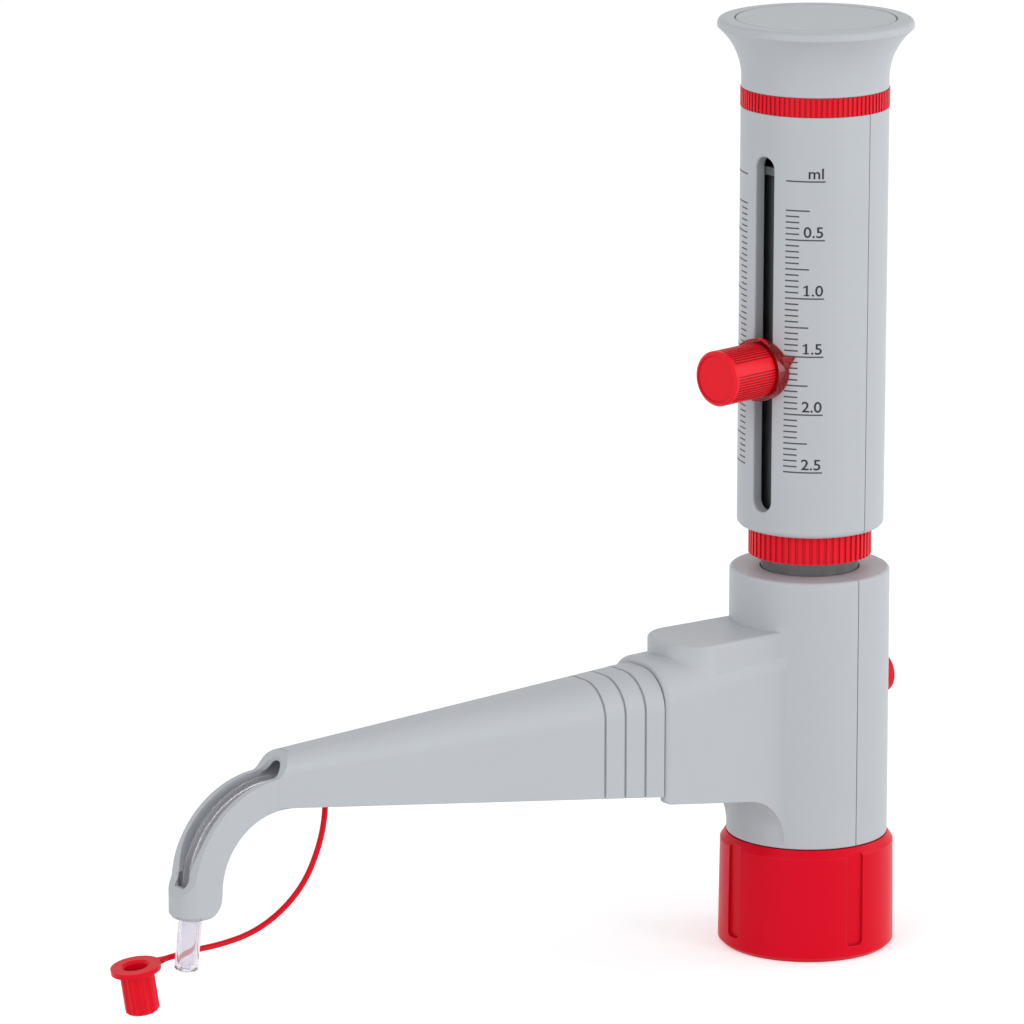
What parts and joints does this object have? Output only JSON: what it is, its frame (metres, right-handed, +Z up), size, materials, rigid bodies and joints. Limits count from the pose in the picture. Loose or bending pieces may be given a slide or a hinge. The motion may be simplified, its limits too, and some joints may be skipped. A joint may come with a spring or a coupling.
{
  "type": "bottle-top dispenser",
  "caption": "Bottle-top dispenser with a slotted sleeve plunger, volume knob, hooked discharge arm, and a nozzle cap on a strap.",
  "frame": {"origin": "centre of the bottle opening, on the plane of the collar's foot", "axes": "+Z up along the plunger, -X along the discharge arm to its nozzle"},
  "size_m": [0.2038, 0.0438, 0.213],
  "materials": {
    "grey_plastic": "satin moulded light grey plastic",
    "red_plastic": "satin moulded red plastic",
    "dial_red": "clear red plastic",
    "dark_tube": "glossy near-black plastic",
    "clear_tube": "clear fluoroplastic tube",
    "barrel_glass": "clear glass",
    "white_resin": "white fluoroplastic",
    "soft_seal": "black elastomer",
    "ceramic": "polished white ball",
    "spring_steel": "drawn wire"
  },
  "bodies": {
    "dispenser": {"housing_front": "grey_plastic", "housing_rear": "grey_plastic", "valve_block": "white_resin", "collar_retainer": "white_resin", "bottle_seal": "soft_seal", "filling_valve": "white_resin", "outlet_valve": "white_resin", "outlet_spring": "spring_steel", "outlet_nut": "white_resin", "barrel_washer": "white_resin", "glass_barrel": "barrel_glass", "guide_tube": "dark_tube", "barrel_bush": "white_resin", "lock_ring": "red_plastic", "discharge_arm": "grey_plastic", "discharge_tube": "clear_tube", "nozzle_tip": "clear_tube", "strap_button": "red_plastic", "cap_strap": "red_plastic", "nozzle_cap": "red_plastic"},
    "collar": {"bottle_collar": "red_plastic"},
    "plunger": {"sleeve_front": "grey_plastic", "sleeve_rear": "grey_plastic", "cap_ring": "red_plastic", "plunger_cap": "grey_plastic", "cap_cover": "grey_plastic", "piston_holder": "white_resin", "zero_adjuster": "white_resin", "piston_rod": "white_resin", "piston_seal": "white_resin"},
    "dial": {"pointer_dial": "dial_red", "clamp_lug": "spring_steel"},
    "knob": {"volume_knob": "red_plastic"},
    "drain_valve": {"valve_knob": "red_plastic", "valve_spindle": "white_resin", "spindle_seal": "soft_seal"},
    "inlet_ball": {"inlet_ball": "ceramic"},
    "outlet_ball": {"outlet_ball": "ceramic"}
  },
  "joints": [
    {"name": "collar_turn", "type": "hinge", "parent": "dispenser", "child": "collar", "pos_m": [0, 0, 0.0235], "axis": [0, 0, 1], "continuous": true},
    {"name": "plunger_lift", "type": "slide", "parent": "dispenser", "child": "plunger", "axis": [0, 0, 1], "range_m": [0, 0.03953]},
    {"name": "dial_slide", "type": "slide", "parent": "plunger", "child": "dial", "axis": [0, 0, 1], "range_m": [-0.02636, 0.03295]},
    {"name": "knob_turn", "type": "hinge", "parent": "dial", "child": "knob", "pos_m": [-0.02464, -0.00426, 0.13581], "axis": [-0.9854, -0.1702, 0], "range_deg": [0, 180]},
    {"name": "valve_turn", "type": "hinge", "parent": "dispenser", "child": "drain_valve", "pos_m": [0.015, 0, 0.0598], "axis": [1, 0, 0], "range_deg": [0, 90]},
    {"name": "inlet_ball_lift", "type": "slide", "parent": "dispenser", "child": "inlet_ball", "axis": [0, 0, 1], "range_m": [0, 0.001]},
    {"name": "outlet_ball_lift", "type": "slide", "parent": "dispenser", "child": "outlet_ball", "axis": [-1, 0, 0], "range_m": [0, 0.001], "stiffness_N_per_m": 10, "deforming": ["outlet_spring"]}
  ]
}
